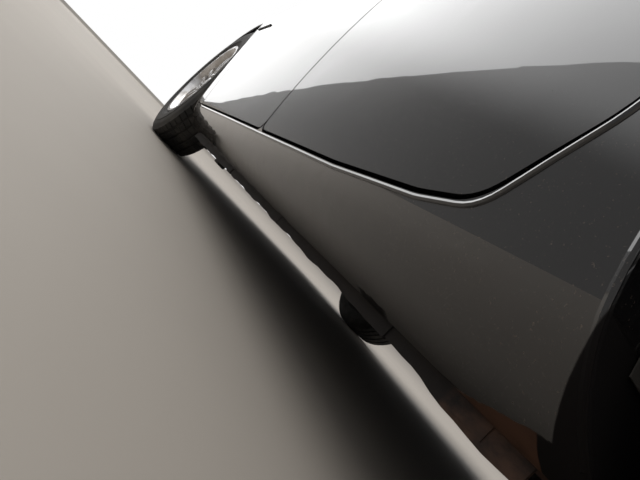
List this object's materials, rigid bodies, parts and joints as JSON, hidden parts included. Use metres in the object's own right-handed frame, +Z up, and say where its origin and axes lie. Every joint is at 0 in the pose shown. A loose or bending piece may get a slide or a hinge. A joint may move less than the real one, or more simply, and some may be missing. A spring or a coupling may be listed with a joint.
{
  "type": "four-door sedan",
  "caption": "Full-size sedan with hinged doors, hood and trunk lid, steered front wheels and free-rolling wheels on hubs.",
  "frame": {"origin": "on the ground at the middle of the overall length and width", "axes": "+Z up, the nose points along -Y, the car's left is +X"},
  "size_m": [2.055, 4.6999, 1.4604],
  "materials": {
    "body_paint": "gloss black",
    "structure": "dusty black",
    "black_plastic": "satin",
    "cabin_plastic": "grained",
    "glass": "clear, slightly tinted",
    "lamp_clear": "clear",
    "lamp_red": "gloss red",
    "tyre": "dull black",
    "alloy": "satin silver",
    "iron": "dull, lightly rusted",
    "engine_metal": "dull",
    "tank_plastic": "dull",
    "exhaust_steel": "dull, lightly rusted",
    "seat_cloth": "woven dark grey"
  },
  "bodies": {
    "body": {"cowl_panel": "black_plastic", "dashboard": "cabin_plastic", "engine_block": "engine_metal", "exhaust": "exhaust_steel", "floor_pan": "structure", "front_bumper": "body_paint", "front_seats": "seat_cloth", "front_suspension": "iron", "fuel_tank": "tank_plastic", "headlamps": "lamp_clear", "left_body_side": "body_paint", "right_body_side": "body_paint", "left_front_fender": "body_paint", "right_front_fender": "body_paint", "nose_frame": "structure", "radiator": "engine_metal", "radiator_grille": "black_plastic", "rear_axle": "iron", "rear_bumper": "body_paint", "rear_seat": "seat_cloth", "rear_window": "glass", "roof_panel": "body_paint", "side_markers": "black_plastic", "tail_frame": "structure", "tail_lamps": "lamp_red", "upper_arms": "iron", "windscreen": "glass"},
    "hood": {"hood": "body_paint"},
    "trunk_lid": {"trunk_lid": "body_paint"},
    "steering_wheel": {"steering_wheel": "cabin_plastic"},
    "left_front_door": {"left_front_door": "body_paint", "left_front_door_glass": "glass", "left_mirror": "body_paint"},
    "left_rear_door": {"left_rear_door": "body_paint", "left_rear_door_glass": "glass"},
    "left_knuckle": {"left_knuckle": "iron"},
    "left_front_wheel": {"left_front_tyre": "tyre", "left_front_rim": "alloy"},
    "left_rear_wheel": {"left_rear_tyre": "tyre", "left_rear_rim": "alloy"},
    "right_front_door": {"right_front_door": "body_paint", "right_front_door_glass": "glass", "right_mirror": "body_paint"},
    "right_rear_door": {"right_rear_door": "body_paint", "right_rear_door_glass": "glass"},
    "right_knuckle": {"right_knuckle": "iron"},
    "right_front_wheel": {"right_front_tyre": "tyre", "right_front_rim": "alloy"},
    "right_rear_wheel": {"right_rear_tyre": "tyre", "right_rear_rim": "alloy"}
  },
  "joints": [
    {"name": "hood_hinge", "type": "hinge", "parent": "body", "child": "hood", "pos_m": [0, -0.952, 0.98], "axis": [-1, 0, 0], "range_deg": [0, 60]},
    {"name": "trunk_hinge", "type": "hinge", "parent": "body", "child": "trunk_lid", "pos_m": [0, 1.582, 1.013], "axis": [1, 0, 0], "range_deg": [0, 75]},
    {"name": "steering_wheel_turn", "type": "hinge", "parent": "body", "child": "steering_wheel", "pos_m": [0.37, -0.36, 0.81], "axis": [0, -0.9135, -0.4067], "range_deg": [-500, 500]},
    {"name": "left_front_door_hinge", "type": "hinge", "parent": "body", "child": "left_front_door", "pos_m": [0.905, -0.93, 0.6], "axis": [0, 0, -1], "range_deg": [0, 65]},
    {"name": "left_rear_door_hinge", "type": "hinge", "parent": "body", "child": "left_rear_door", "pos_m": [0.905, 0.013, 0.6], "axis": [0, 0, -1], "range_deg": [0, 65]},
    {"name": "left_steer", "type": "hinge", "parent": "body", "child": "left_knuckle", "pos_m": [0.715, -1.435, 0.325], "axis": [0, 0, 1], "range_deg": [-33, 33]},
    {"name": "left_front_wheel_spin", "type": "hinge", "parent": "left_knuckle", "child": "left_front_wheel", "pos_m": [0.75, -1.435, 0.325], "axis": [1, 0, 0], "continuous": true},
    {"name": "left_rear_wheel_spin", "type": "hinge", "parent": "body", "child": "left_rear_wheel", "pos_m": [0.75, 1.235, 0.325], "axis": [1, 0, 0], "continuous": true},
    {"name": "right_front_door_hinge", "type": "hinge", "parent": "body", "child": "right_front_door", "pos_m": [-0.905, -0.93, 0.6], "axis": [0, 0, 1], "range_deg": [0, 65]},
    {"name": "right_rear_door_hinge", "type": "hinge", "parent": "body", "child": "right_rear_door", "pos_m": [-0.905, 0.013, 0.6], "axis": [0, 0, 1], "range_deg": [0, 65]},
    {"name": "right_steer", "type": "hinge", "parent": "body", "child": "right_knuckle", "pos_m": [-0.715, -1.435, 0.325], "axis": [0, 0, 1], "range_deg": [-33, 33]},
    {"name": "right_front_wheel_spin", "type": "hinge", "parent": "right_knuckle", "child": "right_front_wheel", "pos_m": [-0.75, -1.435, 0.325], "axis": [1, 0, 0], "continuous": true},
    {"name": "right_rear_wheel_spin", "type": "hinge", "parent": "body", "child": "right_rear_wheel", "pos_m": [-0.75, 1.235, 0.325], "axis": [1, 0, 0], "continuous": true}
  ],
  "couplings": [
    {"joint": "right_steer", "follows": "left_steer", "ratio": 1},
    {"joint": "steering_wheel_turn", "follows": "left_steer", "ratio": -15}
  ]
}
